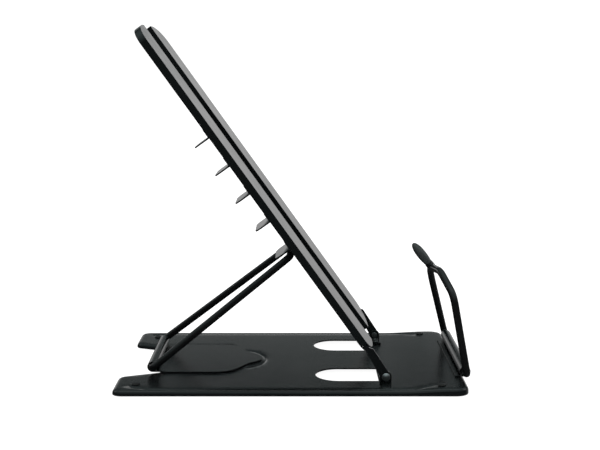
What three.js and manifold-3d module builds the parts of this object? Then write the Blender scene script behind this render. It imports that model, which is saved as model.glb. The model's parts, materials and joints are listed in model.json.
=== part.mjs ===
// Desk-top music stand in black painted steel: a pressed base plate, a tray of two flanged wings
// on a spine with five support tabs, a wire prop, and a wire page holder with a soft tip.
// Millimetres. +X points at the reader, +Y to the reader's right, +Z up.
// The origin is on the table, under the middle of the stand.

import * as THREE from 'three';
import { mergeVertices } from 'three/addons/utils/BufferGeometryUtils.js';
import Module from 'manifold-3d';

const wasm = await Module();
wasm.setup();

// Driving dimensions of the whole stand
const LENGTH = 285;                 // base plate and page holder hinge, rear to front
const WIDTH = 190;                  // base plate across
const FIT_GAP = 0.3;                // between pieces that touch
const REAR = -LENGTH / 2;

// Base plate
const PLATE_LENGTH = 280;
const SHEET = 1.2;
const PLATE_TOP = 5;
const FRONT_TOP = 6.6;              // the plate rises to this level at the front
const RISE_START = 84;
const RISE_END = 124;
const SKIRT_BOTTOM = 0.8;
const FRONT_CORNER = 11;
const REAR_CORNER = 8;
const NOTCH_DEPTH = 31;
const NOTCH_FLOOR_HALF = 40;
const NOTCH_MOUTH_HALF = 53;
const NOTCH_LEAN = Math.atan2(NOTCH_MOUTH_HALF - NOTCH_FLOOR_HALF, NOTCH_DEPTH);
const SLOT_RADIUS = 19;
const SLOT_Y = 47.5;
const SLOT_REAR = REAR + 160;
const SLOT_FRONT = REAR + 210.8;

// Rubber feet
const FOOT_RADIUS = 6;
const FOOT_STEM = 2;
const FOOT_CAP = 3.4;
const REAR_FOOT = { x: REAR + 17, y: 76 };
const FRONT_FOOT = { x: REAR + 259, y: 83 };

// Wire prop and its hinge at the rear of the base
const PROP_AXIS = { x: REAR + 26.5, z: 10.5 };
const PROP_WIRE = 3;
const PROP_FOOT_Y = 50;
const PROP_TOP_Y = 26.5;
const PROP_BEND = 6;
const PROP_LEAF_HALF = 44.5;
const PROP_LEAF_WAIST = { x: REAR + 80, y: 44 };
const PROP_LEAF_NOSE = { x: REAR + 115, y: 27 };
const PROP_PIN_END = 34;

// Tray and its pivot
const PIVOT = { x: REAR + 216, z: 9.5 };
const TRAY_TILT = THREE.MathUtils.degToRad(54.4);
const TRAY_HALF = 73;
const WING_INNER = 21;
const WING_BOTTOM = 20;
const WING_TOP = 339;
const WING_FRONT = 3.9;             // front face above the pivot plane
const WING_BACK = -2.1;             // rear edge of the flanges
const WING_CORNER_ACROSS = 45;
const WING_CORNER_ALONG = 15;
const RETURN_LIP = 10;

// Spine with its support tabs
const SPINE_HALF = 28;
const SPINE_BACK = -6.5;
const SPINE_BOTTOM = 92;
const SPINE_TOP = 262;
const TAB_COUNT = 5;
const TAB_FIRST = 121;              // lower face of the lowest tab, along the tray
const TAB_PITCH = 28.4;
const TAB_HALF = 21;
const TAB_TIP = -22.2;
const TAB_CORNER = 6;
const TAB_FOOT = 9;

// Arms, hinge ears and rivets
const ARM_THICK = 2;
const ARM_INSIDE = TRAY_HALF - SHEET - FIT_GAP - ARM_THICK;
const ARM_TOP = 70;
const ARM_END = 3.9;
const ARM_FRONT = WING_FRONT - SHEET - FIT_GAP;
const ARM_BACK = -0.6;
const ARM_NECK = { along: 28.5, front: 5, drop: 4 };
const EAR_THICK = 2;
const EAR_FOOT_INSIDE = 49;
const EAR_REAR = PIVOT.x - 5;
const EAR_FRONT = PIVOT.x + 4.7;
const PIVOT_PIN = 2;
const PIVOT_HEAD = 3.3;
const PIN_CLEARANCE = 0.3;
const EAR_RIVET = { x: PIVOT.x, inner: 52.5, outer: 60.5, pin: 1.4, head: 2.7 };

// Page holder and its hinge at the front of the base
const CLIP_WIRE = 3;
const HINGE_SHEET = 1;
const HINGE_CLEARANCE = 0.4;
const CLIP_ROLL = CLIP_WIRE + HINGE_CLEARANCE + HINGE_SHEET;
const CLIP_AXIS = { x: LENGTH / 2 - CLIP_ROLL, z: FRONT_TOP + FIT_GAP + CLIP_ROLL };
const CLIP_LEG_Y = 71;
const CLIP_LEAF_HALF = 61;
const CLIP_PIN_END = 50;
const CLIP_SHOULDER = { x: 126, z: 76 };
const CLIP_ARCH = { x: 119.5, y: 38, z: 89 };
const CLIP_FAR_BEND = { x: 120.5, y: 40, z: 73 };
const CLIP_NECK = { x: 116.5, y: 3.4, z: 86 };
const CLIP_LOOP = 14;
const CLIP_NECK_BEND = 4;
const PAD_SLOPE = THREE.MathUtils.degToRad(129);
const PAD_START = 4.8;
const PAD_LENGTH = 20.5;
const PAD_THICK = 4;
const PAD_WIDE = 8;

const WIRE_SIDES = 10;
const BEND_STEPS = 5;
const ARC_STEPS = 10;

const PAINT = { color: 0x0b0c0d, roughness: 0.32, metalness: 0.1 };
const STEEL = { color: 0x8f9295, roughness: 0.35, metalness: 0.9 };
const RUBBER = { color: 0x111212, roughness: 0.85, metalness: 0 };
const VINYL = { color: 0x232828, roughness: 0.42, metalness: 0 };

// Solids ------------------------------------------------------------------------------------

function toSolid(geometry) {
  const bare = geometry.clone();
  for (const name of Object.keys(bare.attributes)) {
    if (name !== 'position') bare.deleteAttribute(name);
  }
  const merged = mergeVertices(bare.index ? bare.toNonIndexed() : bare, 1e-4);
  const mesh = new wasm.Mesh({
    numProp: 3,
    vertProperties: new Float32Array(merged.attributes.position.array),
    triVerts: new Uint32Array(merged.index.array),
  });
  return new wasm.Manifold(mesh);
}

function toGeometry(solid) {
  const mesh = solid.getMesh();
  const geometry = new THREE.BufferGeometry();
  geometry.setAttribute('position', new THREE.BufferAttribute(mesh.vertProperties, 3));
  geometry.setIndex(new THREE.BufferAttribute(mesh.triVerts, 1));
  geometry.computeVertexNormals();
  return geometry;
}

function join(...geometries) {
  return toGeometry(geometries.map(toSolid).reduce((whole, part) => whole.add(part)));
}

function cut(geometry, ...tools) {
  return toGeometry(tools.map(toSolid).reduce((whole, tool) => whole.subtract(tool), toSolid(geometry)));
}

function common(first, second) {
  return toGeometry(toSolid(first).intersect(toSolid(second)));
}

function block(x0, x1, y0, y1, z0, z1) {
  const box = new THREE.BoxGeometry(x1 - x0, y1 - y0, z1 - z0);
  return box.translate((x0 + x1) / 2, (y0 + y1) / 2, (z0 + z1) / 2);
}

// An outline in X and Y, raised from z0 to z1.
function raise(shape, z0, z1, curveSegments = ARC_STEPS) {
  const options = { depth: z1 - z0, bevelEnabled: false, curveSegments };
  return new THREE.ExtrudeGeometry(shape, options).translate(0, 0, z0);
}

// An outline in X and Z, drawn out along Y from y0 to y1.
function drawOut(shape, y0, y1, curveSegments = ARC_STEPS) {
  const options = { depth: y1 - y0, bevelEnabled: false, curveSegments };
  return new THREE.ExtrudeGeometry(shape, options).rotateX(Math.PI / 2).translate(0, y1, 0);
}

function rod(radius, y0, y1, x, z, sides = 20) {
  return new THREE.CylinderGeometry(radius, radius, y1 - y0, sides).translate(x, (y0 + y1) / 2, z);
}

function polygon(points) {
  return new THREE.Shape(points.map(([x, y]) => new THREE.Vector2(x, y)));
}

// Points round a circle from one angle to another, in degrees, both ends included.
function arcPoints(x, z, radius, from, to, steps) {
  return Array.from({ length: steps + 1 }, (_, i) => {
    const angle = THREE.MathUtils.degToRad(from + ((to - from) * i) / steps);
    return [x + radius * Math.cos(angle), z + radius * Math.sin(angle)];
  });
}

// The outline of a bent strip of sheet: its centre line widened by half the sheet each way.
function stripOutline(centre, sheet) {
  const sides = [[], []];
  centre.forEach(([x, y], i) => {
    const [ax, ay] = centre[Math.max(i - 1, 0)];
    const [bx, by] = centre[Math.min(i + 1, centre.length - 1)];
    const length = Math.hypot(bx - ax, by - ay);
    const nx = ((ay - by) / length) * (sheet / 2);
    const ny = ((bx - ax) / length) * (sheet / 2);
    sides[0].push([x + nx, y + ny]);
    sides[1].push([x - nx, y - ny]);
  });
  return polygon([...sides[0], ...sides[1].reverse()]);
}

// Wires -------------------------------------------------------------------------------------

// A path through set points that keeps every point, with the bisecting direction at each.
class WirePath extends THREE.Curve {
  constructor(points) {
    super();
    this.points = points;
  }

  getUtoTmapping(u) {
    return u;
  }

  getPoint(t, target = new THREE.Vector3()) {
    const place = t * (this.points.length - 1);
    const index = Math.min(Math.floor(place), this.points.length - 2);
    return target.lerpVectors(this.points[index], this.points[index + 1], place - index);
  }

  getTangent(t, target = new THREE.Vector3()) {
    const index = Math.round(t * (this.points.length - 1));
    const here = this.points[index];
    const before = this.points[Math.max(index - 1, 0)];
    const after = this.points[Math.min(index + 1, this.points.length - 1)];
    target.copy(after).sub(here).normalize();
    return target.add(here.clone().sub(before).normalize()).normalize();
  }
}

// Corner points with a bend radius each, turned into points with round bends.
function bendWire(corners) {
  const points = [corners[0].at];
  for (let i = 1; i < corners.length - 1; i += 1) {
    const { at, bend } = corners[i];
    const back = corners[i - 1].at.clone().sub(at).normalize();
    const ahead = corners[i + 1].at.clone().sub(at).normalize();
    const half = Math.acos(THREE.MathUtils.clamp(back.dot(ahead), -1, 1)) / 2;
    const reach = bend / Math.tan(half);
    const middle = back.clone().add(ahead).normalize();
    const centre = at.clone().addScaledVector(middle, bend / Math.sin(half));
    const start = at.clone().addScaledVector(back, reach).sub(centre);
    const end = at.clone().addScaledVector(ahead, reach).sub(centre);
    const sweep = start.angleTo(end);
    for (let step = 0; step <= BEND_STEPS; step += 1) {
      const part = step / BEND_STEPS;
      const from = Math.sin((1 - part) * sweep) / Math.sin(sweep);
      const to = Math.sin(part * sweep) / Math.sin(sweep);
      points.push(centre.clone().addScaledVector(start, from).addScaledVector(end, to));
    }
  }
  points.push(corners.at(-1).at);
  return points;
}

function wire(corners, radius) {
  const points = bendWire(corners);
  const section = new THREE.Shape();
  section.absarc(0, 0, radius, 0, Math.PI * 2, false);
  return new THREE.ExtrudeGeometry(section, {
    steps: points.length - 1,
    curveSegments: WIRE_SIDES,
    bevelEnabled: false,
    extrudePath: new WirePath(points),
  });
}

function corner(x, y, z, bend = 0) {
  return { at: new THREE.Vector3(x, y, z), bend };
}

function mirrorCorners(half) {
  const other = half.map(({ at, bend }) => corner(at.x, -at.y, at.z, bend)).reverse();
  return [...half, ...other];
}

// Base --------------------------------------------------------------------------------------

// Half the notch's width at x, on the plate's outline moved in by inset.
function notchHalf(x, inset) {
  const depth = REAR + NOTCH_DEPTH - x;
  return NOTCH_FLOOR_HALF + depth * Math.tan(NOTCH_LEAN) + inset / Math.cos(NOTCH_LEAN);
}

// The plate seen from above: a rectangle with round corners and a tapered notch between two rear feet.
function plateOutline(inset) {
  const rear = REAR + inset;
  const front = REAR + PLATE_LENGTH - inset;
  const side = WIDTH / 2 - inset;
  const notchX = REAR + NOTCH_DEPTH + inset;
  const notchY = notchHalf(notchX, inset);
  const frontCorner = FRONT_CORNER - inset;
  const rearCorner = REAR_CORNER - inset;
  const quarter = Math.PI / 2;
  const toe = quarter + NOTCH_LEAN;
  const toeX = REAR + REAR_CORNER;
  const toeY = notchHalf(toeX, REAR_CORNER);
  const shape = new THREE.Shape();
  shape.moveTo(notchX, -notchY);
  shape.lineTo(toeX + rearCorner * Math.cos(toe), -toeY + rearCorner * Math.sin(toe));
  shape.absarc(toeX, -toeY, rearCorner, toe, 2 * quarter, false);
  shape.absarc(rear + rearCorner, -side + rearCorner, rearCorner, 2 * quarter, 3 * quarter, false);
  shape.absarc(front - frontCorner, -side + frontCorner, frontCorner, -quarter, 0, false);
  shape.absarc(front - frontCorner, side - frontCorner, frontCorner, 0, quarter, false);
  shape.absarc(rear + rearCorner, side - rearCorner, rearCorner, quarter, 2 * quarter, false);
  shape.absarc(toeX, toeY, rearCorner, 2 * quarter, 4 * quarter - toe, false);
  shape.lineTo(notchX, notchY);
  return shape;
}

// Level of the plate's top at x: level, then a smooth rise to the front.
function plateTop(x) {
  const share = THREE.MathUtils.smoothstep(x, RISE_START, RISE_END);
  return PLATE_TOP + (FRONT_TOP - PLATE_TOP) * share;
}

// The plate's side view, filled from the given level up to its top less a thickness.
function plateSide(bottom, less) {
  const x0 = REAR - 1;
  const x1 = REAR + PLATE_LENGTH + 1;
  const top = [[x0, plateTop(x0) - less]];
  const steps = 12;
  for (let i = 0; i <= steps; i += 1) {
    const x = RISE_START + ((RISE_END - RISE_START) * i) / steps;
    top.push([x, plateTop(x) - less]);
  }
  top.push([x1, plateTop(x1) - less]);
  return polygon([...top, [x1, bottom], [x0, bottom]]);
}

// A slot with a round rear end and a straight front end.
function slotOutline(y) {
  const shape = new THREE.Shape();
  shape.moveTo(SLOT_FRONT, y - SLOT_RADIUS);
  shape.lineTo(SLOT_FRONT, y + SLOT_RADIUS);
  shape.absarc(SLOT_REAR + SLOT_RADIUS, y, SLOT_RADIUS, Math.PI / 2, Math.PI * 1.5, false);
  return shape;
}

function drill(x, y, radius, z0, z1) {
  return new THREE.CylinderGeometry(radius, radius, z1 - z0, 16)
    .rotateX(Math.PI / 2).translate(x, y, (z0 + z1) / 2);
}

function basePlate() {
  const side = WIDTH / 2 + 1;
  const outer = common(
    raise(plateOutline(0), SKIRT_BOTTOM, FRONT_TOP + 1),
    drawOut(plateSide(SKIRT_BOTTOM - 1, 0), -side, side),
  );
  const inner = common(
    raise(plateOutline(SHEET), SKIRT_BOTTOM - 1, FRONT_TOP + 1),
    drawOut(plateSide(SKIRT_BOTTOM - 2, SHEET), -side, side),
  );
  const holes = [];
  for (const hand of [-1, 1]) {
    holes.push(raise(slotOutline(hand * SLOT_Y), -1, PLATE_TOP + 2, 14));
    for (const foot of [REAR_FOOT, FRONT_FOOT]) {
      holes.push(drill(foot.x, hand * foot.y, FOOT_STEM + FIT_GAP, 0, FRONT_TOP + 1));
    }
    for (const y of [EAR_RIVET.inner, EAR_RIVET.outer]) {
      holes.push(drill(EAR_RIVET.x, hand * y, EAR_RIVET.pin + FIT_GAP, 0, FRONT_TOP + 1));
    }
  }
  return cut(outer, inner, ...holes);
}

// A push-in rubber foot: pad, stem through the plate, and a low cap on top.
function rubberFoot(x, y) {
  const under = plateTop(x) - SHEET - FIT_GAP;
  const over = plateTop(x) + FIT_GAP;
  const profile = [
    [0, 0], [FOOT_RADIUS - 0.6, 0], [FOOT_RADIUS, 0.6], [FOOT_RADIUS, under], [FOOT_STEM, under],
    [FOOT_STEM, over], [FOOT_CAP, over], [FOOT_CAP - 0.5, over + 0.7], [0, over + 1],
  ];
  const points = profile.map(([r, z]) => new THREE.Vector2(r, z));
  return new THREE.LatheGeometry(points, 20).rotateX(Math.PI / 2).translate(x, y, 0);
}

// A hinge leaf: flat on the plate, then rolled round the wire. The roll opens on the leaf's side.
function hingeLeaf(axis, wireRadius, leafEnd, leafLevel, forward, halfLength) {
  const roll = wireRadius + HINGE_CLEARANCE + HINGE_SHEET / 2;
  const start = -90;
  const sweep = 285;
  const leaf = [[leafEnd, leafLevel]];
  if (leafLevel < axis.z - roll - FIT_GAP) {
    leaf.push([axis.x - forward * 10, leafLevel]);
    leaf.push([axis.x - forward * 6, axis.z - roll]);
  }
  const round = arcPoints(axis.x, axis.z, roll, start, start + forward * sweep, 18);
  return drawOut(stripOutline([...leaf, ...round], HINGE_SHEET), -halfLength, halfLength);
}

// The prop's leaf seen from above: nearly straight sides, then a rounded nose towards the reader.
function propLeafOutline() {
  const start = PROP_AXIS.x + 10;
  const { x: waistX, y: waistY } = PROP_LEAF_WAIST;
  const { x: noseX, y: noseY } = PROP_LEAF_NOSE;
  const shape = new THREE.Shape();
  shape.moveTo(start, PROP_LEAF_HALF);
  shape.lineTo(start, -PROP_LEAF_HALF);
  shape.lineTo(waistX, -waistY);
  shape.bezierCurveTo(waistX + 12, -waistY + 1, waistX + 15, -noseY - 6, waistX + 19, -noseY);
  shape.bezierCurveTo(waistX + 23, -noseY / 2, noseX, -noseY / 2, noseX, 0);
  shape.bezierCurveTo(noseX, noseY / 2, waistX + 23, noseY / 2, waistX + 19, noseY);
  shape.bezierCurveTo(waistX + 15, noseY + 6, waistX + 12, waistY - 1, waistX, waistY);
  return shape;
}

// An ear that carries one end of the tray: an upright plate on a foot, with a pivot hole.
function hingeEar(hand) {
  const floor = PLATE_TOP + FIT_GAP;
  const outside = ARM_INSIDE - FIT_GAP;
  const inside = outside - EAR_THICK;
  const crown = ARM_END + 0.6;
  const upright = polygon([
    [EAR_REAR, floor], [EAR_FRONT, floor], [EAR_FRONT, floor + 1.4],
    ...arcPoints(PIVOT.x, PIVOT.z, crown, 0, 180, 12), [EAR_REAR, floor + 1.4],
  ]);
  const sides = [hand * inside, hand * outside].sort((a, b) => a - b);
  const foot = [hand * EAR_FOOT_INSIDE, hand * (inside + 0.5)].sort((a, b) => a - b);
  const ear = join(
    drawOut(upright, ...sides),
    block(SLOT_FRONT + 0.7, EAR_FRONT, ...foot, floor, floor + 1.4),
  );
  const holes = [EAR_RIVET.inner, EAR_RIVET.outer].map((y) => (
    drill(EAR_RIVET.x, hand * y, EAR_RIVET.pin + FIT_GAP, 0, PIVOT.z)
  ));
  const bore = rod(PIVOT_PIN + PIN_CLEARANCE, sides[0] - 1, sides[1] + 1, PIVOT.x, PIVOT.z);
  return cut(ear, bore, ...holes);
}

// A rivet turned about its own axis: low domed head, shank, and a flat head at the far end.
function rivetProfile(pin, head, domeBase, domeHeight, tailTop, tailHeight) {
  return [
    [0, tailTop - tailHeight], [head * 0.75, tailTop - tailHeight], [head * 0.75, tailTop],
    [pin, tailTop], [pin, domeBase], [head, domeBase], [head * 0.86, domeBase + domeHeight * 0.55],
    [head * 0.5, domeBase + domeHeight * 0.9], [0, domeBase + domeHeight],
  ].map(([r, z]) => new THREE.Vector2(r, z));
}

function earRivet(y) {
  const top = PLATE_TOP + FIT_GAP + 1.4 + FIT_GAP;
  const tail = PLATE_TOP - SHEET - FIT_GAP;
  const profile = rivetProfile(EAR_RIVET.pin, EAR_RIVET.head, top, 1.2, tail, 0.9);
  return new THREE.LatheGeometry(profile, 18).rotateX(Math.PI / 2).translate(EAR_RIVET.x, y, 0);
}

function pivotRivet(hand) {
  const outside = ARM_INSIDE + ARM_THICK + FIT_GAP;
  const inside = ARM_INSIDE - FIT_GAP - EAR_THICK - FIT_GAP;
  const profile = rivetProfile(PIVOT_PIN, PIVOT_HEAD, outside, 1.6, inside, 1);
  const rivet = new THREE.LatheGeometry(profile, 24);
  return (hand > 0 ? rivet : rivet.rotateZ(Math.PI)).translate(PIVOT.x, 0, PIVOT.z);
}

// Tray, in its own axes: x across, y up along the tray, z out of its front -------------------

// One wing seen from the front: square on the inner side, with long round outer corners.
function wingOutline(hand, inset) {
  const inner = WING_INNER + inset;
  const outer = TRAY_HALF - inset;
  const low = WING_BOTTOM + inset;
  const high = WING_TOP - inset;
  const across = WING_CORNER_ACROSS - inset;
  const along = WING_CORNER_ALONG - inset;
  const steps = 12;
  const round = (middle, side) => Array.from({ length: steps + 1 }, (_, i) => {
    const angle = ((i / steps) * Math.PI) / 2;
    const turn = side < 0 ? angle : Math.PI / 2 - angle;
    return [outer - across + across * Math.sin(turn), middle + side * along * Math.cos(turn)];
  });
  const points = [
    [inner, low], ...round(low + along, -1), ...round(high - along, 1), [inner, high],
  ];
  return polygon(points.map(([x, y]) => [hand * x, y]));
}

// A wing: a face with flanges turned back all round, a lip turned in along the inner side, and
// a way through its lower outer corner for the arm.
function wing(hand) {
  const face = raise(wingOutline(hand, 0), WING_BACK, WING_FRONT);
  const hollow = raise(wingOutline(hand, SHEET), WING_BACK - 1, WING_FRONT - SHEET);
  const lip = [hand * WING_INNER, hand * (WING_INNER + RETURN_LIP)].sort((a, b) => a - b);
  const low = WING_BOTTOM + SHEET / 2;
  const high = WING_TOP - SHEET / 2;
  const slack = [ARM_INSIDE - FIT_GAP, ARM_INSIDE + ARM_THICK + FIT_GAP];
  const passage = slack.map((x) => hand * x).sort((a, b) => a - b);
  const way = block(
    ...passage, WING_BOTTOM - 1, WING_BOTTOM + WING_CORNER_ALONG, ARM_BACK - FIT_GAP, WING_FRONT - SHEET,
  );
  return join(cut(face, hollow, way), block(...lip, low, high, WING_BACK, WING_BACK + 1));
}

// The spine: a shallow channel behind the gap between the wings.
function spine() {
  const outer = block(-SPINE_HALF, SPINE_HALF, SPINE_BOTTOM, SPINE_TOP, SPINE_BACK, WING_BACK - FIT_GAP);
  const side = SPINE_HALF - SHEET;
  const hollow = block(-side, side, SPINE_BOTTOM - 1, SPINE_TOP + 1, SPINE_BACK + SHEET, 0);
  return cut(outer, hollow);
}

// A support tab: a foot on the spine and a tongue that stands straight back, with round corners.
function supportTab(index) {
  const low = TAB_FIRST + TAB_PITCH * index;
  const root = SPINE_BACK - FIT_GAP;
  const left = arcPoints(-TAB_HALF + TAB_CORNER, TAB_TIP + TAB_CORNER, TAB_CORNER, 180, 270, 6);
  const right = arcPoints(TAB_HALF - TAB_CORNER, TAB_TIP + TAB_CORNER, TAB_CORNER, 270, 360, 6);
  const tongue = polygon([[-TAB_HALF, root], ...left, ...right, [TAB_HALF, root]]);
  return join(
    drawOut(tongue, low, low + SHEET),
    block(-TAB_HALF, TAB_HALF, low + SHEET / 2, low + TAB_FOOT, root - SHEET, root),
  );
}

// An arm along the inside of a wing's flange, out past its lower corner, then forward of the
// wing's line and down to the pivot.
function arm(hand) {
  const outline = polygon([
    ...arcPoints(0, 0, ARM_END, 180, 360, 10),
    [-ARM_BACK, ARM_NECK.along], [-ARM_BACK, ARM_TOP - 1], [-ARM_BACK - 1, ARM_TOP],
    [-ARM_FRONT + 1, ARM_TOP], [-ARM_FRONT, ARM_TOP - 1], [-ARM_FRONT, ARM_NECK.along],
    [-ARM_NECK.front, ARM_NECK.along - ARM_NECK.drop],
  ]);
  const bar = new THREE.ExtrudeGeometry(outline, { depth: ARM_THICK, bevelEnabled: false });
  bar.rotateY(Math.PI / 2).translate(hand > 0 ? ARM_INSIDE : -ARM_INSIDE - ARM_THICK, 0, 0);
  const radius = PIVOT_PIN + PIN_CLEARANCE;
  const bore = new THREE.CylinderGeometry(radius, radius, 400, 20).rotateZ(Math.PI / 2);
  return cut(bar, bore);
}

// Prop and page holder ----------------------------------------------------------------------

// Where the prop's top bar lies: under the lowest tab, just behind the spine.
function propTop() {
  const along = TAB_FIRST - PROP_WIRE - 0.5;
  const out = SPINE_BACK - PROP_WIRE - 0.5;
  return {
    x: PIVOT.x - along * Math.cos(TRAY_TILT) + out * Math.sin(TRAY_TILT),
    z: PIVOT.z + along * Math.sin(TRAY_TILT) + out * Math.cos(TRAY_TILT),
  };
}

function propWire() {
  const top = propTop();
  const half = [
    corner(PROP_AXIS.x, -PROP_PIN_END, PROP_AXIS.z),
    corner(PROP_AXIS.x, -PROP_FOOT_Y, PROP_AXIS.z, PROP_BEND * 0.5),
    corner(top.x, -PROP_TOP_Y, top.z, PROP_BEND),
  ];
  return wire(mirrorCorners(half), PROP_WIRE);
}

function padDirection() {
  return new THREE.Vector3(Math.cos(PAD_SLOPE), 0, Math.sin(PAD_SLOPE));
}

// One wire: from the roll's left end up to a shoulder, over to the middle, round a tight loop,
// and on a straight slant down to the roll's right end.
function clipWire() {
  const ahead = padDirection().multiplyScalar(CLIP_LOOP);
  const { x, y, z } = CLIP_NECK;
  return wire([
    corner(CLIP_AXIS.x, -CLIP_PIN_END, CLIP_AXIS.z),
    corner(CLIP_AXIS.x, -CLIP_LEG_Y, CLIP_AXIS.z, 4),
    corner(CLIP_SHOULDER.x, -CLIP_LEG_Y, CLIP_SHOULDER.z, 12),
    corner(CLIP_ARCH.x, -CLIP_ARCH.y, CLIP_ARCH.z, 30),
    corner(x, -y, z, CLIP_NECK_BEND),
    corner(x + ahead.x, -y, z + ahead.z, y - 0.05),
    corner(x + ahead.x, y, z + ahead.z, y - 0.05),
    corner(x, y, z, CLIP_NECK_BEND),
    corner(CLIP_FAR_BEND.x, CLIP_FAR_BEND.y, CLIP_FAR_BEND.z, 40),
    corner(CLIP_AXIS.x, CLIP_LEG_Y, CLIP_AXIS.z, 4),
    corner(CLIP_AXIS.x, CLIP_PIN_END, CLIP_AXIS.z),
  ], CLIP_WIRE);
}

// The soft tip over the wire's loop: a flattened drop with a pocket for the wire.
function clipPad() {
  const start = PAD_START;
  const middle = start + PAD_LENGTH * 0.32;
  const profile = [[0, start]];
  const steps = 12;
  for (let i = 0; i < steps; i += 1) {
    const t = start + PAD_LENGTH * (1 - Math.cos(((i / steps) * Math.PI) / 2) ** 1.6);
    const reach = t < middle ? 2.2 * (middle - start) : start + PAD_LENGTH - middle;
    profile.push([PAD_THICK * Math.sqrt(Math.max(1 - ((t - middle) / reach) ** 2, 0)), t]);
  }
  profile.push([0, start + PAD_LENGTH]);
  const drop = new THREE.LatheGeometry(profile.map(([r, t]) => new THREE.Vector2(r, t)), 28);
  drop.scale(PAD_WIDE / PAD_THICK, 1, 1);
  const slack = CLIP_WIRE + FIT_GAP;
  const pocket = block(
    -CLIP_NECK.y - slack, CLIP_NECK.y + slack, start - 2, CLIP_LOOP + slack, -slack, slack,
  );
  const pad = cut(drop, pocket);
  const along = padDirection();
  const across = new THREE.Vector3(0, 1, 0);
  const out = across.clone().cross(along);
  pad.applyMatrix4(new THREE.Matrix4().makeBasis(across, along, out));
  return pad.translate(CLIP_NECK.x, 0, CLIP_NECK.z);
}

// Assembly ----------------------------------------------------------------------------------

function named(name, geometry, finish) {
  const mesh = new THREE.Mesh(geometry, new THREE.MeshStandardMaterial(finish));
  mesh.name = name;
  return mesh;
}

const stand = new THREE.Group();
const tray = new THREE.Group();
tray.position.set(PIVOT.x, 0, PIVOT.z);
tray.quaternion.setFromRotationMatrix(new THREE.Matrix4().makeBasis(
  new THREE.Vector3(0, 1, 0),
  new THREE.Vector3(-Math.cos(TRAY_TILT), 0, Math.sin(TRAY_TILT)),
  new THREE.Vector3(Math.sin(TRAY_TILT), 0, Math.cos(TRAY_TILT)),
));
stand.add(tray);

const propLeafFloor = PLATE_TOP + FIT_GAP;
const propLeaf = join(
  hingeLeaf(
    PROP_AXIS, PROP_WIRE, PROP_AXIS.x + 14, propLeafFloor + HINGE_SHEET / 2, -1, PROP_LEAF_HALF,
  ),
  raise(propLeafOutline(), propLeafFloor, propLeafFloor + HINGE_SHEET, 8),
);
const clipLeaf = hingeLeaf(
  CLIP_AXIS, CLIP_WIRE, CLIP_AXIS.x - 8, FRONT_TOP + FIT_GAP + HINGE_SHEET / 2, 1, CLIP_LEAF_HALF,
);
stand.add(named('base_plate', basePlate(), PAINT));
stand.add(named('prop_hinge_leaf', propLeaf, PAINT));
stand.add(named('page_holder_hinge_leaf', clipLeaf, PAINT));
for (const [side, hand] of [['left', -1], ['right', 1]]) {
  stand.add(named(`${side}_hinge_ear`, hingeEar(hand), PAINT));
  stand.add(named(`${side}_ear_rivet_inner`, earRivet(hand * EAR_RIVET.inner), PAINT));
  stand.add(named(`${side}_ear_rivet_outer`, earRivet(hand * EAR_RIVET.outer), PAINT));
  stand.add(named(`${side}_pivot_rivet`, pivotRivet(hand), STEEL));
  stand.add(named(`${side}_rear_foot`, rubberFoot(REAR_FOOT.x, hand * REAR_FOOT.y), RUBBER));
  stand.add(named(`${side}_front_foot`, rubberFoot(FRONT_FOOT.x, hand * FRONT_FOOT.y), RUBBER));
  tray.add(named(`${side}_wing`, wing(hand), PAINT));
  tray.add(named(`${side}_arm`, arm(hand), PAINT));
}
tray.add(named('spine', spine(), PAINT));
for (let i = 0; i < TAB_COUNT; i += 1) {
  tray.add(named(`support_tab_${i + 1}`, supportTab(i), PAINT));
}
stand.add(named('prop_wire', propWire(), PAINT));
stand.add(named('page_holder_wire', clipWire(), PAINT));
stand.add(named('page_holder_tip', clipPad(), VINYL));

export default stand;
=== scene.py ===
"""Looks of a desk-top music stand in black enamelled steel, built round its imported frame.

Metres. +X points at the reader, +Y to the reader's right, +Z up, as in the frame.
"""

import json
import logging
import math
from dataclasses import dataclass
from enum import Enum
from typing import Mapping, Sequence, Union

import bmesh
import bpy
import numpy as np
from mathutils import Matrix, Vector
from mathutils.geometry import delaunay_2d_cdt


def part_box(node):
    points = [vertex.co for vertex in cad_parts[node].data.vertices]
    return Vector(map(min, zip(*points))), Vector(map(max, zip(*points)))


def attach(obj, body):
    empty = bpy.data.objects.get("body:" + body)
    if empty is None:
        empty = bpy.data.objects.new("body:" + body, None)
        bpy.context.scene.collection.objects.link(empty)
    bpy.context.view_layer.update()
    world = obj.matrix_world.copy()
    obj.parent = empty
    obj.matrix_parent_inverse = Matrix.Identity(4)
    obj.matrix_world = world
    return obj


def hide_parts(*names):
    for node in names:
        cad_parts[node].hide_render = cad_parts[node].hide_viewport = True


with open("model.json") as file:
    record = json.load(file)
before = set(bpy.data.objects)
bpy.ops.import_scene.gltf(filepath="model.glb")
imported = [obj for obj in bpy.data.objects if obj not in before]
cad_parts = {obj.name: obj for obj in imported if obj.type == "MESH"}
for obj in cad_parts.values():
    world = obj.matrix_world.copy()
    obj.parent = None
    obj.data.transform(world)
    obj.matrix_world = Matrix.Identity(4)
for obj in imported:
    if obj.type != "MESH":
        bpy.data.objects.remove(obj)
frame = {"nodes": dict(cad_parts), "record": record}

LOG = logging.getLogger("music_stand")
MM = 0.001
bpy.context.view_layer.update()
JOINTS = {joint["name"]: np.array(joint["pos_m"], float) for joint in frame["record"]["behaviour"]["joints"]}

Number = Union[int, float]


class Side(Enum):
    """The reader's left or right, with the sign of its Y."""

    LEFT = -1
    RIGHT = 1

    @property
    def prefix(self) -> str:
        """The start of the side's piece names."""
        return self.name.lower()


class Body(Enum):
    """The rigid bodies that pieces ride on."""

    BASE = "base"
    TRAY = "tray"
    PROP = "prop"
    PAGE_HOLDER = "page_holder"


# Shader maths -------------------------------------------------------------------------------


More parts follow.
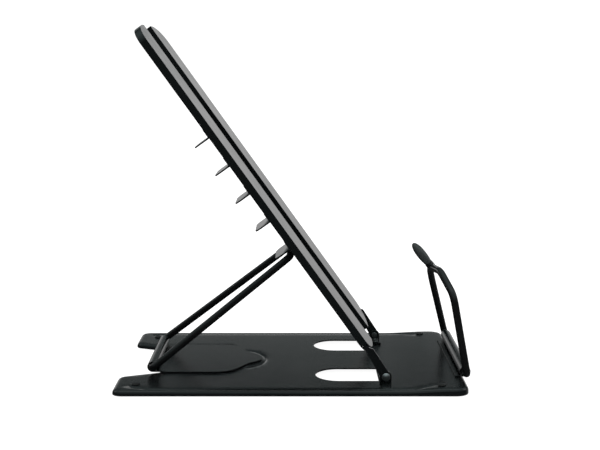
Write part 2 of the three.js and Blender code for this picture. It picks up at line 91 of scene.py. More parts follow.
class Socket:
    """One shader value, which turns Python arithmetic into Math nodes."""

    def __init__(self, shader: "NodeBook", link: bpy.types.NodeSocket) -> None:
        """Wraps an output socket of a node tree."""
        self.shader = shader
        self.link = link

    def _math(self, operation: str, first: "Operand", second: "Operand") -> "Socket":
        """Adds one Math node.

        Args:
            operation: The node's operation.
            first: Its first value.
            second: Its second value.

        Returns:
            The node's result.
        """
        return self.shader.node("ShaderNodeMath", {"operation": operation}, {0: first, 1: second})

    def __add__(self, other: "Operand") -> "Socket":
        """Self plus other."""
        return self._math("ADD", self, other)

    def __radd__(self, other: "Operand") -> "Socket":
        """Other plus self."""
        return self._math("ADD", other, self)

    def __sub__(self, other: "Operand") -> "Socket":
        """Self less other."""
        return self._math("SUBTRACT", self, other)

    def __rsub__(self, other: "Operand") -> "Socket":
        """Other less self."""
        return self._math("SUBTRACT", other, self)

    def __mul__(self, other: "Operand") -> "Socket":
        """Self times other."""
        return self._math("MULTIPLY", self, other)

    def __rmul__(self, other: "Operand") -> "Socket":
        """Other times self."""
        return self._math("MULTIPLY", other, self)


Operand = Union[Number, Socket]
Value = Union[Number, Sequence[float], Socket]


class NodeBook:
    """A node tree that nodes are added to one by one."""

    def __init__(self, tree: bpy.types.NodeTree, surface: str) -> None:
        """Takes a tree and the name of the node that ends it."""
        self.tree = tree
        self.surface = tree.nodes[surface]

    def node(self, kind: str, settings: Mapping[str, object], values: Mapping[object, Value],
             output: Union[int, str] = 0) -> Socket:
        """Adds any node.

        Args:
            kind: The node's type name.
            settings: Its own settings, set before its sockets.
            values: A number, colour or link for each input, by name or place.
            output: The output that is wanted, by name or place.

        Returns:
            That output.
        """
        node = self.tree.nodes.new(kind)
        for key, setting in settings.items():
            if key == "stops":
                elements = node.color_ramp.elements
                while len(elements) < len(setting):
                    elements.new(1.0)
                for element, (place, level) in zip(elements, setting):
                    element.position = place
                    element.color = (level, level, level, 1.0)
            else:
                setattr(node, key, setting)
        for key, value in values.items():
            self._feed(node.inputs[key], value)
        return Socket(self, node.outputs[output])

    def _feed(self, socket: bpy.types.NodeSocket, value: Value) -> None:
        """Links a value to an input, or sets it there."""
        if isinstance(value, Socket):
            self.tree.links.new(value.link, socket)
        else:
            socket.default_value = value

    def set(self, **values: Value) -> None:
        """Feeds the shader's inputs, named in words joined by underscores."""
        for key, value in values.items():
            self._feed(self.surface.inputs[key.replace("_", " ")], value)

    def ramp(self, value: Socket, *stops: tuple[float, float]) -> Socket:
        """Levels that run straight between stops of (place, level)."""
        return self.node("ShaderNodeValToRGB", {"stops": stops}, {"Fac": value})

    def mix(self, share: Operand, first: Value, second: Value) -> Socket:
        """A colour between two, with share of the second."""
        values = {"Factor": share, 6: first, 7: second}
        return self.node("ShaderNodeMix", {"data_type": "RGBA"}, values, 2)


class Shader(NodeBook):
    """A material's node tree around one Principled shader."""

    def __init__(self, name: str) -> None:
        """Starts a material with an empty tree but for its shader and output."""
        self.material = bpy.data.materials.new(name)
        self.material.use_nodes = True
        super().__init__(self.material.node_tree, "Principled BSDF")

    def place(self) -> Socket:
        """Object coordinates, in metres."""
        return self.node("ShaderNodeTexCoord", {}, {}, "Object")

    def noise(self, size: float, detail: float = 2.0, roughness: float = 0.5) -> Socket:
        """Noise from 0 to 1 whose blotches are about size metres across."""
        values = {"Vector": self.place(), "Scale": 1 / size, "Detail": detail, "Roughness": roughness}
        return self.node("ShaderNodeTexNoise", {}, values)

    def bump(self, height: Socket, distance: float, strength: float = 1.0) -> Socket:
        """A bumped normal from a height of 0 to 1 that stands for distance metres."""
        values = {"Height": height, "Distance": distance, "Strength": strength}
        return self.node("ShaderNodeBump", {}, values, "Normal")

    def facing_up(self) -> Socket:
        """The upward part of the surface's direction, 1 on a level top."""
        normal = self.node("ShaderNodeTexCoord", {}, {}, "Normal")
        return self.node("ShaderNodeSeparateXYZ", {}, {0: normal}, "Z")


# Finishes -----------------------------------------------------------------------------------


@dataclass(frozen=True)
class Enamel:
    """Baked black enamel: a fine orange peel, slow changes of gloss, and thin dust on top."""

    name: str
    colour: tuple[float, float, float]
    gloss: float
    peel_size: float
    peel_depth: float

    def material(self) -> bpy.types.Material:
        """Builds the enamel."""
        shader = Shader(self.name)
        cloud = shader.noise(45 * MM, 3.0)
        smear = shader.noise(9 * MM, 4.0, 0.6)
        speck = shader.ramp(shader.noise(0.9 * MM, 2.0), (0.66, 0), (0.74, 1))
        dust = shader.ramp(shader.facing_up(), (0.55, 0), (0.95, 1)) * (0.35 + 0.65 * smear)
        dark = tuple(0.7 * part for part in self.colour) + (1.0,)
        pale = tuple(1.5 * part for part in self.colour) + (1.0,)
        paint = shader.mix(cloud, dark, pale)
        dusted = shader.mix(dust * (0.006 + 0.05 * speck), paint, (0.20, 0.22, 0.22, 1.0))
        rough = self.gloss + 0.10 * cloud + 0.08 * smear + 0.06 * dust
        peel = shader.noise(self.peel_size, 2.0, 0.45)
        grain = shader.noise(self.peel_size * 0.28, 1.0)
        height = peel * 0.8 + grain * 0.2
        shader.set(
            Base_Color=dusted, Roughness=rough, Metallic=0.0, IOR=1.5,
            Normal=shader.bump(height, self.peel_depth, 0.6),
        )
        return shader.material


@dataclass(frozen=True)
class PlatedSteel:
    """Zinc-plated steel: grey metal with a fine grain and a little tarnish."""

    name: str = "plated_steel"

    def material(self) -> bpy.types.Material:
        """Builds the plating."""
        shader = Shader(self.name)
        tarnish = shader.noise(2.5 * MM, 4.0, 0.6)
        grain = shader.noise(0.25 * MM, 3.0, 0.7)
        colour = shader.mix(tarnish, (0.42, 0.43, 0.43, 1.0), (0.62, 0.63, 0.64, 1.0))
        shader.set(
            Base_Color=colour, Metallic=1.0, Roughness=0.24 + 0.22 * tarnish,
            Normal=shader.bump(grain, 0.02 * MM, 0.5),
        )
        return shader.material


@dataclass(frozen=True)
class Rubber:
    """Matt black rubber with a moulded grain and pale scuffs."""

    name: str = "foot_rubber"

    def material(self) -> bpy.types.Material:
        """Builds the rubber."""
        shader = Shader(self.name)
        scuff = shader.ramp(shader.noise(1.6 * MM, 5.0, 0.7), (0.58, 0), (0.75, 1))
        grain = shader.noise(0.35 * MM, 2.0)
        shader.set(
            Base_Color=shader.mix(scuff * 0.35, (0.012, 0.012, 0.012, 1.0), (0.06, 0.06, 0.058, 1.0)),
            Roughness=0.72 + 0.2 * scuff, Normal=shader.bump(grain, 0.05 * MM, 0.6),
        )
        return shader.material


@dataclass(frozen=True)
class Vinyl:
    """Dark grey-green vinyl dipped over the wire: satin, with soft runs and a fine grain."""

    name: str = "dipped_vinyl"

    def material(self) -> bpy.types.Material:
        """Builds the vinyl."""
        shader = Shader(self.name)
        runs = shader.noise(6 * MM, 2.0)
        grain = shader.noise(0.3 * MM, 2.0)
        wear = shader.ramp(shader.noise(1.2 * MM, 4.0, 0.65), (0.6, 0), (0.78, 1))
        colour = shader.mix(runs, (0.020, 0.024, 0.024, 1.0), (0.036, 0.043, 0.042, 1.0))
        shader.set(
            Base_Color=shader.mix(wear * 0.3, colour, (0.10, 0.105, 0.10, 1.0)),
            Roughness=0.34 + 0.12 * runs + 0.12 * wear,
            Normal=shader.bump(grain * 0.3 + runs * 0.7, 0.12 * MM, 0.5),
        )
        return shader.material


# Surfaces -----------------------------------------------------------------------------------


@dataclass
class Surface:
    """A mesh in whole arrays: vertices of shape (n, 3), and faces of three or four indices."""

    vertices: np.ndarray
    faces: list[np.ndarray]

    @staticmethod
    def grid(points: np.ndarray, wrap: bool) -> "Surface":
        """Joins rows of points into quads.

        Each quad joins places (i, j), (i, j+1), (i+1, j+1) and (i+1, j).

        Args:
            points: The rows, of shape (rows, columns, 3).
            wrap: Whether the last column joins the first.

        Returns:
            The open or tube-like surface.
        """
        rows, columns = points.shape[:2]
        index = np.arange(rows * columns).reshape(rows, columns)
        ahead = np.roll(index, -1, axis=1)
        span = columns if wrap else columns - 1
        corners = (index[:-1, :span], ahead[:-1, :span], ahead[1:, :span], index[1:, :span])
        quads = np.stack([corner.ravel() for corner in corners], axis=1)
        return Surface(points.reshape(-1, 3), [quads])

    def with_caps(self, columns: int) -> "Surface":
        """Closes both ends of a tube-like grid with one face each."""
        last = len(self.vertices)
        start = np.arange(columns)[::-1]
        end = np.arange(last - columns, last)
        return Surface(self.vertices, self.faces + [start[None, :], end[None, :]])

    def join(self, other: "Surface") -> "Surface":
        """Both surfaces as one."""
        shifted = [face + len(self.vertices) for face in other.faces]
        return Surface(np.vstack([self.vertices, other.vertices]), self.faces + shifted)

    def object(self, name: str) -> bpy.types.Object:
        """Makes the mesh object, with doubles merged, faces outwards and smooth shading."""
        mesh = bpy.data.meshes.new(name)
        faces = [row for block in self.faces for row in block.tolist()]
        mesh.from_pydata(self.vertices.tolist(), [], faces)
        piece = bpy.data.objects.new(name, mesh)
        bpy.context.scene.collection.objects.link(piece)
        tidy_mesh(mesh, smooth_angle=38)
        return piece


def tidy_mesh(mesh: bpy.types.Mesh, smooth_angle: float, flatten: bool = False) -> None:
    """Merges doubles, turns faces outwards, and shades smooth up to an angle.

    Args:
        mesh: The mesh to change.
        smooth_angle: The largest angle in degrees between faces that still looks smooth.
        flatten: Whether triangles in one plane are joined into one face.
    """
    work = bmesh.new()
    work.from_mesh(mesh)
    bmesh.ops.remove_doubles(work, verts=work.verts, dist=0.004 * MM)
    bmesh.ops.dissolve_degenerate(work, edges=work.edges, dist=0.002 * MM)
    if flatten:
        limit = math.radians(0.6)
        bmesh.ops.dissolve_limit(work, angle_limit=limit, verts=work.verts, edges=work.edges)
    bmesh.ops.recalc_face_normals(work, faces=work.faces)
    work.to_mesh(mesh)
    work.free()
    mesh.shade_smooth()
    mesh.set_sharp_from_angle(angle=math.radians(smooth_angle))


def settle(piece: bpy.types.Object, smooth_angle: float) -> None:
    """Turns a piece's modifiers into its mesh, and shades the result smooth up to an angle."""
    graph = bpy.context.evaluated_depsgraph_get()
    mesh = bpy.data.meshes.new_from_object(piece.evaluated_get(graph))
    piece.modifiers.clear()
    piece.data = mesh
    mesh.shade_smooth()
    mesh.set_sharp_from_angle(angle=math.radians(smooth_angle))


def rounded_path(corners: np.ndarray, bends: np.ndarray, steps: int, closed: bool) -> np.ndarray:
    """A path through corners, with an arc of its own radius at each.

    An arc's centre lies on the corner's bisector, at bend over the sine of the half angle. Its
    points turn evenly from the first tangent point to the second.

    Args:
        corners: The corners, of shape (n, 3).
        bends: Their bend radii, of shape (n,).
        steps: The number of stretches in each arc.
        closed: Whether the last corner joins the first.

    Returns:
        The path's points.
    """
    here = corners if closed else corners[1:-1]
    before = np.roll(corners, 1, axis=0) if closed else corners[:-2]
    after = np.roll(corners, -1, axis=0) if closed else corners[2:]
    bend = (bends if closed else bends[1:-1])[:, None]
    back = before - here
    back /= np.linalg.norm(back, axis=1, keepdims=True)
    ahead = after - here
    ahead /= np.linalg.norm(ahead, axis=1, keepdims=True)
    half = np.arccos(np.clip((back * ahead).sum(axis=1, keepdims=True), -1, 1)) / 2
    middle = back + ahead
    middle /= np.linalg.norm(middle, axis=1, keepdims=True)
    centre = here + middle * bend / np.sin(half)
    start = here + back * bend / np.tan(half) - centre
    end = here + ahead * bend / np.tan(half) - centre
    sweep = np.pi - 2 * half
    share = np.linspace(0, 1, steps + 1)[None, :, None]
    turn = sweep[:, :, None]
    weight = np.sin((1 - share) * turn) / np.sin(turn), np.sin(share * turn) / np.sin(turn)
    arcs = centre[:, None] + start[:, None] * weight[0] + end[:, None] * weight[1]
    points = arcs.reshape(-1, 3)
    return points if closed else np.vstack([corners[:1], points, corners[-1:]])


def subdivide(points: np.ndarray, counts: np.ndarray, closed: bool) -> np.ndarray:
    """Cuts each stretch of a path into its own number of equal parts."""
    ahead = np.roll(points, -1, axis=0) if closed else np.vstack([points[1:], points[-1:]])
    stretch = np.repeat(np.arange(len(counts)), counts)
    first = np.cumsum(counts) - counts
    share = ((np.arange(counts.sum()) - first[stretch]) / counts[stretch])[:, None]
    cut = points[stretch] * (1 - share) + ahead[stretch] * share
    return cut if closed else np.vstack([cut, points[-1:]])


def stretch_counts(points: np.ndarray, spacing: float, closed: bool) -> np.ndarray:
    """How many parts no longer than spacing each stretch of a path takes."""
    ahead = np.roll(points, -1, axis=0) if closed else points[1:]
    length = np.linalg.norm(ahead - points[:len(ahead)], axis=1)
    return np.maximum(np.ceil(length / spacing), 1).astype(int)


def wire_surface(path: np.ndarray, radius: float, beside: np.ndarray, sides: int) -> Surface:
    """A round wire along a path, with edges rounded at both ends.

    Each ring lies across the path's direction there. Its first axis is the part of beside that
    is square to that direction, and its second is the cross product of the two.

    Args:
        path: The centre line.
        radius: The wire's radius.
        beside: A direction that is never along the path.
        sides: Points round each ring.

    Returns:
        The closed wire.
    """
    ease = np.array([0.0, 0.12, 0.35, 0.65, 1.0])
    out = path[0] + (path[1] - path[0]) / np.linalg.norm(path[1] - path[0]) * radius * ease[:, None]
    home = path[-1] + (path[-2] - path[-1]) / np.linalg.norm(path[-2] - path[-1]) * radius * ease[:, None]
    line = np.vstack([out, path[1:-1], home[::-1]])
    swell = np.sqrt(np.clip(1 - (1 - ease) ** 2, 0.12, 1))
    size = np.concatenate([swell, np.ones(len(path) - 2), swell[::-1]]) * radius
    along = np.gradient(line, axis=0)
    along /= np.linalg.norm(along, axis=1, keepdims=True)
    first = beside - along * (along @ beside)[:, None]
    first /= np.linalg.norm(first, axis=1, keepdims=True)
    second = np.cross(along, first)
    angle = np.linspace(0, 2 * np.pi, sides, endpoint=False)
    ring = first[:, None] * np.cos(angle)[None, :, None] + second[:, None] * np.sin(angle)[None, :, None]
    return Surface.grid(line[:, None] + ring * size[:, None, None], wrap=True).with_caps(sides)


def turned_surface(profile: np.ndarray, sides: int) -> Surface:
    """A profile of (radius, height) turned about Z: x and y are radius times cosine and sine."""
    angle = np.linspace(0, 2 * np.pi, sides, endpoint=False)
    radius = profile[:, :1]
    rows = np.stack([
        radius * np.cos(angle), radius * np.sin(angle), np.repeat(profile[:, 1:], sides, axis=1),
    ], axis=2)
    return Surface.grid(rows, wrap=True).with_caps(sides)


def path_distance(points: np.ndarray, path: np.ndarray) -> np.ndarray:
    """How far each point is from the nearest stretch of a path, both in the plane."""
    start = path[:-1][None]
    step = (path[1:] - path[:-1])[None]
    share = ((points[:, None] - start) * step).sum(axis=2) / (step ** 2).sum(axis=2)
    nearest = start + np.clip(share, 0, 1)[:, :, None] * step
    return np.linalg.norm(points[:, None] - nearest, axis=2).min(axis=1)


def inside(points: np.ndarray, loop: np.ndarray) -> np.ndarray:
    """Whether each point is inside a closed loop: a ray to +X crosses it an odd number of times."""
    x0, y0 = loop[:, 0][None], loop[:, 1][None]
    x1, y1 = np.roll(x0, -1, axis=1), np.roll(y0, -1, axis=1)
    x, y = points[:, :1], points[:, 1:2]
    spans = (y0 > y) != (y1 > y)
    safe = np.where(y1 == y0, 1.0, y1 - y0)
    crosses = spans & (x < x0 + (y - y0) * (x1 - x0) / safe)
    return crosses.sum(axis=1) % 2 == 1


def plan_normals(path: np.ndarray) -> np.ndarray:
    """Unit directions square to an open path in the plane, one for each of its points."""
    along = np.gradient(path, axis=0)
    along /= np.linalg.norm(along, axis=1, keepdims=True)
    return np.stack([-along[:, 1], along[:, 0]], axis=1)


# Pieces -------------------------------------------------------------------------------------


def node_box(node: str) -> tuple[np.ndarray, np.ndarray]:
    """A node's lowest and highest corners at rest."""
    low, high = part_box(node)
    return np.array(low), np.array(high)


class Workshop:
    """Finishes and places pieces, and notes each one."""

    edge_steps: int = 3
    edge_angle: float = math.radians(42)
    flat_angle: float = 32

    def __init__(self) -> None:
        """Builds the finishes, one material for each slot of the record."""
        sheet = Enamel("sheet_enamel", (0.0030, 0.0040, 0.0042), 0.10, 1.6 * MM, 0.005 * MM)
        wire = Enamel("wire_enamel", (0.0030, 0.0033, 0.0035), 0.16, 1.2 * MM, 0.006 * MM)
        self.materials = {
            "black_paint": sheet.material(),
            "wire_paint": wire.material(),
            "plated_rivet": PlatedSteel().material(),
            "rubber_foot": Rubber().material(),
            "soft_tip": Vinyl().material(),
        }
        self.slots = {part["node"]: part["material_slot"] for part in frame["record"]["subparts"]}

    def fit(self, piece: bpy.types.Object, node: str, body: Body) -> None:
        """Dresses a piece in its node's finish, and lets it stand for the node.

        Args:
            piece: The finished piece.
            node: The CAD node that it stands for.
            body: The body that it rides on.
        """
        slot = self.slots[node]
        piece.data.materials.clear()
        piece.data.materials.append(self.materials[slot])
        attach(piece, body.value)
        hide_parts(node)
        LOG.info("%s on %s: %d faces", piece.name, body.value, len(piece.data.polygons))

    def eased(self, node: str, name: str, body: Body, edge: float) -> bpy.types.Object:
        """Makes a sheet piece from its node's own shape, with eased edges.

        Args:
            node: The CAD node whose shape is taken.
            name: The new piece's name.
            body: The body that it rides on.
            edge: The width of the eased edges.

        Returns:
            The piece.
        """
        mesh = frame["nodes"][node].data.copy()
        mesh.name = name
        piece = bpy.data.objects.new(name, mesh)
        bpy.context.scene.collection.objects.link(piece)
        tidy_mesh(mesh, smooth_angle=self.flat_angle, flatten=True)
        bevel = piece.modifiers.new("eased_edges", "BEVEL")
        bevel.width = edge
        bevel.segments = self.edge_steps
        bevel.limit_method = "ANGLE"
        bevel.angle_limit = self.edge_angle
        bevel.harden_normals = True
        self.fit(piece, node, body)
        return piece


@dataclass
class BasePlate:
    """The pressed base: a skirted panel with a tapered rear notch, two slots and grooves."""

    shop: Workshop
    sheet: float = 1.2 * MM
    bend: float = 3.2 * MM
    notch_depth: float = 31 * MM
    notch_half: float = 40 * MM
    notch_mouth: float = 53 * MM
    notch_corner: float = 1.6 * MM
    rear_corner: float = 8 * MM
    front_corner: float = 11 * MM
    level: float = 5 * MM
    rise: float = 1.6 * MM
    rise_start: float = 84 * MM
    rise_end: float = 124 * MM
    slot_rear: float = 160 * MM
    slot_front: float = 210.8 * MM
    slot_middle: float = 47.5 * MM
    slot_radius: float = 19 * MM
    groove_inset: float = 5.2 * MM
    groove_start: tuple[float, float] = (15 * MM, 6 * MM)
    groove_end: tuple[float, float] = (252 * MM, 7 * MM)
    groove_turn: float = 14 * MM
    groove_width: float = 1.3 * MM
    groove_depth: float = 0.9 * MM
    tongue_rear: tuple[float, float] = (38 * MM, 46.4 * MM)
    tongue_front: tuple[float, float] = (83 * MM, 45.6 * MM)
    nose_middle: float = 97.5 * MM
    nose_reach: tuple[float, float] = (20.5 * MM, 28 * MM)
    grain: float = 5.5 * MM

    def __post_init__(self) -> None:
        """Takes the panel's box from the frame, and lays out the grooves."""
        self.low, self.high = node_box("base_plate")
        self.lines = self.grooves()

    def outline(self, inset: float) -> np.ndarray:
        """The panel's outline moved in by inset, as a closed path with round corners."""
        rear, front = self.low[0] + inset, self.high[0] - inset
        side = self.high[1] - inset
        notch = self.low[0] + self.notch_depth + inset
        lean = math.atan2(self.notch_mouth - self.notch_half, self.notch_depth)
        floor_gap, mouth_gap = (
            self.notch_half + (self.low[0] + self.notch_depth - x) * math.tan(lean) + inset / math.cos(lean)
            for x in (notch, rear)
        )
        half = [
            (notch, floor_gap, self.notch_corner + inset), (rear, mouth_gap, self.rear_corner - inset),
            (rear, side, self.rear_corner - inset), (front, side, self.front_corner - inset),
        ]
        mirrored = [(x, -y, bend) for x, y, bend in half]
        table = np.array(half[::-1] + mirrored)
        corners = np.column_stack([table[:, :2], np.zeros(len(table))])
        return rounded_path(corners, table[:, 2], 8, closed=True)

    def slot_loop(self, side: Side) -> np.ndarray:
        """A slot's loop in the plane: a half circle at the rear and a straight front end."""
        middle = side.value * self.slot_middle
        front = self.low[0] + self.slot_front
        centre = self.low[0] + self.slot_rear + self.slot_radius
        angle = np.linspace(np.pi / 2, 1.5 * np.pi, 37)
        arc = np.column_stack([np.cos(angle), np.sin(angle)]) * self.slot_radius + [centre, middle]
        return np.vstack([[[front, middle + self.slot_radius]], arc, [[front, middle - self.slot_radius]]])

    def edge_groove(self, side: Side) -> np.ndarray:
        """The plan of the groove beside one long edge, turned in at both ends."""
        edge = self.high[1] - self.groove_inset
        start, end = self.low[0] + self.groove_start[0], self.low[0] + self.groove_end[0]
        turn = self.groove_turn
        corners = np.array([
            (start, edge - self.groove_start[1], 0), (start + turn, edge, 0),
            (end - turn, edge, 0), (end, edge - self.groove_end[1], 0),
        ])
        corners[:, 1] *= side.value
        path = rounded_path(corners, np.array([0, turn, turn, 0]), 10, closed=False)
        return subdivide(path, stretch_counts(path, 3 * MM, False), False)[:, :2]

    def tongue_grooves(self) -> list[np.ndarray]:
        """The plans of the grooves beside the hinge tongue and of the arc before its nose.

        The arc's points are (middle + reach times cosine, half width times sine).
        """
        shift = np.array([self.low[0], 0])
        rear, front = np.array(self.tongue_rear), np.array(self.tongue_front)
        share = np.linspace(0, 1, 16)[:, None]
        beside = [(rear + (front - rear) * share) * [1, side.value] + shift for side in Side]
        angle = np.radians(np.linspace(-72, 72, 22))
        arc = np.column_stack([
            self.nose_middle + self.nose_reach[0] * np.cos(angle), self.nose_reach[1] * np.sin(angle),
        ])
        return beside + [arc + shift]

    def grooves(self) -> list[np.ndarray]:
        """The plans of all the pressed grooves."""
        return [self.edge_groove(side) for side in Side] + self.tongue_grooves()

    def height(self, plan: np.ndarray) -> np.ndarray:
        """The top's level at points of the plan.

        It is level, rises by a smooth step towards the front, and dips in each groove by a bell
        curve of the distance from the groove's path, which fades out at the path's ends.

        Args:
            plan: Points of shape (n, 2).

        Returns:
            Their heights.
        """
        share = np.clip((plan[:, 0] - self.rise_start) / (self.rise_end - self.rise_start), 0, 1)
        level = self.level + self.rise * share * share * (3 - 2 * share)
        for line in self.lines:
            away = path_distance(plan, line)
            level = level - self.groove_depth * np.exp(-((away / self.groove_width) ** 2))
        return level

    def skin(self) -> tuple[Surface, np.ndarray]:
        """The skirt and its bend, as rings carried in from the outline.

        Returns:
            The surface, and the innermost ring's plan.
        """
        angle = np.linspace(0, np.pi / 2, 8)
        insets = self.bend * (1 - np.cos(angle))
        drops = self.bend * (1 - np.sin(angle))
        outer = self.outline(0)
        counts = stretch_counts(outer, 5 * MM, True)
        plans = [subdivide(self.outline(inset), counts, True)[:, :2] for inset in insets]
        rows = [np.column_stack([plans[0], np.full(len(plans[0]), self.low[2])])]
        rows += [np.column_stack([plan, self.height(plan) - drop]) for plan, drop in zip(plans, drops)]
        return Surface.grid(np.stack(rows), wrap=True), plans[-1]

    def top(self, ring: np.ndarray) -> Surface:
        """The panel's top: triangles between its edge, the slots, the grooves and an even grid."""
        loops = [ring] + [self.slot_loop(side) for side in Side]
        spread = np.array([-2.2, -1.4, -0.9, -0.45, 0, 0.45, 0.9, 1.4, 2.2]) * self.groove_width
        beside = [line + plan_normals(line) * away for line in self.lines for away in spread]
        xs = np.arange(self.low[0], self.high[0], self.grain)
        ys = np.arange(self.low[1], self.high[1], self.grain)
        field = np.array(np.meshgrid(xs, ys)).reshape(2, -1).T
        clear = path_distance(field, np.vstack([ring, ring[:1]])) > 1.5 * MM
        for line in self.lines:
            clear &= path_distance(field, line) > 3.2 * self.groove_width
        loose = np.vstack([field[clear]] + beside)
        loose = loose[inside(loose, ring)]
        edges, first = [], 0
        for loop in loops:
            index = np.arange(len(loop)) + first
            edges += np.column_stack([index, np.roll(index, -1)]).tolist()
            first += len(loop)
        plan = np.vstack(loops + [loose])
        found = delaunay_2d_cdt([Vector(point) for point in plan.tolist()], edges, [], 0, 1e-7, False)
        points = np.array([tuple(point) for point in found[0]])
        triangles = np.array(found[2])
        middles = points[triangles].mean(axis=1)
        keep = inside(middles, ring)
        for loop in loops[1:]:
            keep &= ~inside(middles, loop)
        return Surface(np.column_stack([points, self.height(points)]), [triangles[keep]])

    def build(self) -> None:
        """Makes the panel, with the sheet's thickness added inwards."""
        skin, ring = self.skin()
        piece = skin.join(self.top(ring)).object("base_panel")
        upward = sum(face.normal.z * face.area for face in piece.data.polygons)
        if upward < 0:
            piece.data.flip_normals()
        wall = piece.modifiers.new("sheet", "SOLIDIFY")
        wall.thickness = self.sheet
        wall.offset = -1
        wall.use_even_offset = True
        settle(piece, 36)
        self.shop.fit(piece, "base_plate", Body.BASE)


@dataclass
class Fittings:
    """Hinge leaves, ears, rivets and feet that stay with the base."""

    shop: Workshop
    sides: int = 36
    leaf_edge: float = 0.22 * MM
    ear_edge: float = 0.3 * MM
    pivot_pin: float = 2 * MM
    pivot_rise: float = 1.6 * MM
    ear_pin: float = 1.4 * MM
    ear_rise: float = 1.2 * MM
    foot_cap: float = 3.4 * MM
    foot_stem: float = 2 * MM
    foot_edge: float = 0.9 * MM
    foot_hollow: float = 0.5 * MM
    foot_crown: float = 1.0 * MM
    foot_grip: float = 1.8 * MM

    def turned(self, node: str, name: str, profile: np.ndarray, matrix: Matrix) -> None:
        """Makes a turned piece in its own place.

        Args:
            node: The CAD node that it stands for.
            name: The piece's name.
            profile: Its (radius, height) profile.
            matrix: The place of the profile's axis.
        """
        surface = turned_surface(profile, self.sides)
        place = np.array(matrix)
        surface.vertices = surface.vertices @ place[:3, :3].T + place[:3, 3]
        self.shop.fit(surface.object(name), node, Body.BASE)

    @staticmethod
    def rivet_profile(pin: float, head: float, rise: float, low: float, high: float) -> np.ndarray:
        """A rivet's profile: a flat tail, the pin, and a domed head with a small rim.

        The dome's height falls off as one less the square of radius over head radius.

        Args:
            pin: The pin's radius.
            head: The head's radius.
            rise: The dome's height.
            low: The tail's outer end.
            high: The level under the head.

        Returns:
            The profile from the tail to the crown.
        """
        rim = 0.16 * rise
        share = np.linspace(1, 0.02, 10)
        dome = np.column_stack([head * share * 0.97, high + rim + (rise - rim) * (1 - share ** 2.2)])
        tail = head * 0.73
        foot = [
            (0.02 * MM, low), (tail * 0.88, low), (tail, low + 0.15 * MM), (tail, low + 0.75 * MM),
            (pin, low + 0.75 * MM), (pin, high), (head * 0.97, high), (head, high + 0.4 * rim),
        ]
        return np.vstack([foot, dome])

    def pivot_rivet(self, side: Side) -> None:
        """The rivet that one arm of the tray turns on, with its head on the outside."""
        node = f"{side.prefix}_pivot_rivet"
        low, high = node_box(node)
        middle, reach = (low + high) / 2, high[1] - low[1]
        start = low[1] if side is Side.RIGHT else high[1]
        turn = Matrix.Rotation(-side.value * math.pi / 2, 4, "X")
        place = Matrix.Translation((middle[0], start, middle[2])) @ turn
        size = (high[2] - low[2]) / 2
        profile = self.rivet_profile(self.pivot_pin, size, self.pivot_rise, 0, reach - self.pivot_rise)
        self.turned(node, f"{side.prefix}_pivot_stud", profile, place)

    def ear_rivet(self, side: Side, spot: str) -> None:
        """The inner or outer rivet that holds one ear to the base, with its head on top."""
        node = f"{side.prefix}_ear_rivet_{spot}"
        low, high = node_box(node)
        middle, rise = (low + high) / 2, self.ear_rise
        place = Matrix.Translation((middle[0], middle[1], low[2]))
        size = (high[0] - low[0]) / 2
        profile = self.rivet_profile(self.ear_pin, size, rise, 0, high[2] - low[2] - rise)
        self.turned(node, f"{side.prefix}_ear_stud_{spot}", profile, place)

    def foot_profile(self, pad: float, height: float) -> np.ndarray:
        """A rubber foot's profile: a hollow middle, a round lower edge, a stem and a domed cap.

        The lower edge is a quarter circle. The cap's height falls off as one less a power of
        radius over cap radius.

        Args:
            pad: The pad's radius.
            height: The foot's whole height.

        Returns:
            The profile from the hollow to the crown.
        """
        over = height - self.foot_crown
        under = over - self.foot_grip
        turn = np.linspace(0, np.pi / 2, 6)
        edge = np.column_stack([
            pad - self.foot_edge * (1 - np.sin(turn)), self.foot_edge * (1 - np.cos(turn)),
        ])
        share = np.linspace(1, 0.03, 9)
        rim = 0.2 * self.foot_crown
        rise = rim + (self.foot_crown - rim) * (1 - share ** 2.6)
        dome = np.column_stack([self.foot_cap * share, over + rise])
        axis = 0.02 * MM
        return np.vstack([
            [(axis, self.foot_hollow), (pad * 0.42, self.foot_hollow), (pad * 0.5, 0.0)], edge,
            [(pad, under), (self.foot_stem, under), (self.foot_stem, over), (self.foot_cap * 0.96, over)],
            dome,
        ])

    def foot(self, side: Side, end: str) -> None:
        """One rubber foot, at the rear or front of a side."""
        node = f"{side.prefix}_{end}_foot"
        low, high = node_box(node)
        middle = (low + high) / 2
        profile = self.foot_profile((high[0] - low[0]) / 2, high[2] - low[2])
        place = Matrix.Translation((middle[0], middle[1], low[2]))
        self.turned(node, f"{side.prefix}_{end}_rubber_foot", profile, place)

    def sheet_parts(self) -> None:
        """The two rolled hinge leaves and the tray's ears."""
        self.shop.eased("prop_hinge_leaf", "prop_hinge_tongue", Body.BASE, self.leaf_edge)
        self.shop.eased("page_holder_hinge_leaf", "page_holder_hinge_roll", Body.BASE, self.leaf_edge)
        for side in Side:
            self.shop.eased(f"{side.prefix}_hinge_ear", f"{side.prefix}_tray_ear", Body.BASE, self.ear_edge)

    def build(self) -> None:
        """Makes all the fittings."""
        self.sheet_parts()
        for side in Side:
            self.pivot_rivet(side)
            for spot in ("inner", "outer"):
                self.ear_rivet(side, spot)
        for side in Side:
            for end in ("rear", "front"):
                self.foot(side, end)


